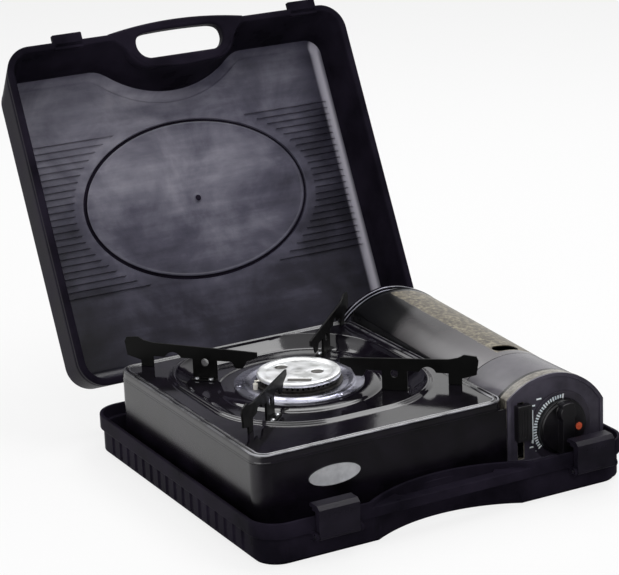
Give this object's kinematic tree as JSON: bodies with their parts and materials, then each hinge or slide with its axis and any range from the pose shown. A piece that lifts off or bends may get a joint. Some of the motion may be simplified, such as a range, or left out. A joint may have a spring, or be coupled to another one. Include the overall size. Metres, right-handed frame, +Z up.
{
  "type": "butane cassette stove",
  "caption": "Tabletop gas stove standing in its open carry case: round burner with upright pan supports, curved cartridge cover, control knob and lever, hinged lid with carrying slot.",
  "frame": {"origin": "middle of the carry case's base, on the ground", "axes": "+Z up, +X to the right along the front, +Y towards the lid's hinge; the knob and latches face -Y"},
  "size_m": [0.362, 0.5331, 0.3538],
  "materials": {
    "case_plastic": "satin moulded",
    "latch_plastic": "satin moulded",
    "black_enamel": "gloss enamel",
    "cover_paint": "gloss paint",
    "support_enamel": "satin enamel",
    "zinc_steel": "bright zinc plate",
    "pin_steel": "drawn",
    "cast_aluminium": "as cast",
    "bright_aluminium": "polished",
    "chrome": "polished",
    "rubber": "matte",
    "knob_plastic": "satin moulded",
    "orange_plastic": "gloss",
    "white_plastic": "satin",
    "ceramic": "glazed",
    "lead_insulation": "satin",
    "silver_badge": "anodised"
  },
  "bodies": {
    "case": {"case_base": "case_plastic", "lid_hinge_pins": "pin_steel", "latch_pins": "pin_steel"},
    "lid": {"case_lid": "case_plastic"},
    "latch_left_body": {"latch_left": "latch_plastic"},
    "latch_right_body": {"latch_right": "latch_plastic"},
    "stove": {"stove_body": "black_enamel", "stove_feet": "rubber", "top_plate": "black_enamel", "heat_shield": "zinc_steel", "end_housing": "black_enamel", "rear_bulkhead": "black_enamel", "front_badge": "silver_badge", "pan_support_front_left": "support_enamel", "pan_support_front_right": "support_enamel", "pan_support_back_left": "support_enamel", "pan_support_back_right": "support_enamel", "support_rivets": "zinc_steel", "burner_bowl": "cast_aluminium", "burner_port_ring": "cast_aluminium", "burner_cap": "bright_aluminium", "burner_collar": "chrome", "burner_screws": "zinc_steel", "mixing_tube": "cast_aluminium", "cover_hinge_pins": "pin_steel", "regulator": "cast_aluminium", "cartridge_socket": "zinc_steel", "dial_ring": "knob_plastic", "igniter": "white_plastic", "ignition_electrode": "ceramic", "ignition_lead": "lead_insulation"},
    "cover": {"cartridge_cover": "cover_paint"},
    "cradle": {"cartridge_cradle": "zinc_steel"},
    "knob": {"control_shaft": "pin_steel", "control_knob": "knob_plastic", "knob_marker": "orange_plastic"},
    "lever": {"cartridge_lever": "knob_plastic"}
  },
  "joints": [
    {"name": "lid_hinge", "type": "hinge", "parent": "case", "child": "lid", "pos_m": [0, 0.1792, 0.0425], "axis": [1, 0, 0], "range_deg": [0, 40]},
    {"name": "latch_left_hinge", "type": "hinge", "parent": "case", "child": "latch_left_body", "pos_m": [-0.114, -0.1745, 0.022], "axis": [1, 0, 0], "range_deg": [0, 100]},
    {"name": "latch_right_hinge", "type": "hinge", "parent": "case", "child": "latch_right_body", "pos_m": [0.138, -0.1745, 0.022], "axis": [1, 0, 0], "range_deg": [0, 100]},
    {"name": "stove_lift", "type": "slide", "parent": "case", "child": "stove", "axis": [0, 0, 1], "range_m": [0, 0.045]},
    {"name": "cover_hinge", "type": "hinge", "parent": "stove", "child": "cover", "pos_m": [0.1651, 0.025, 0.067], "axis": [0, 1, 0], "range_deg": [0, 95]},
    {"name": "lever_slide", "type": "slide", "parent": "stove", "child": "lever", "axis": [0, 0, -1], "range_m": [0, 0.018]},
    {"name": "cradle_slide", "type": "slide", "parent": "stove", "child": "cradle", "axis": [0, -1, 0], "range_m": [0, 0.006]},
    {"name": "knob_turn", "type": "hinge", "parent": "stove", "child": "knob", "pos_m": [0.127, -0.1385, 0.0515], "axis": [0, -1, 0], "range_deg": [0, 135]}
  ],
  "couplings": [
    {"joint": "cradle_slide", "follows": "lever_slide", "ratio": 0.33333}
  ]
}
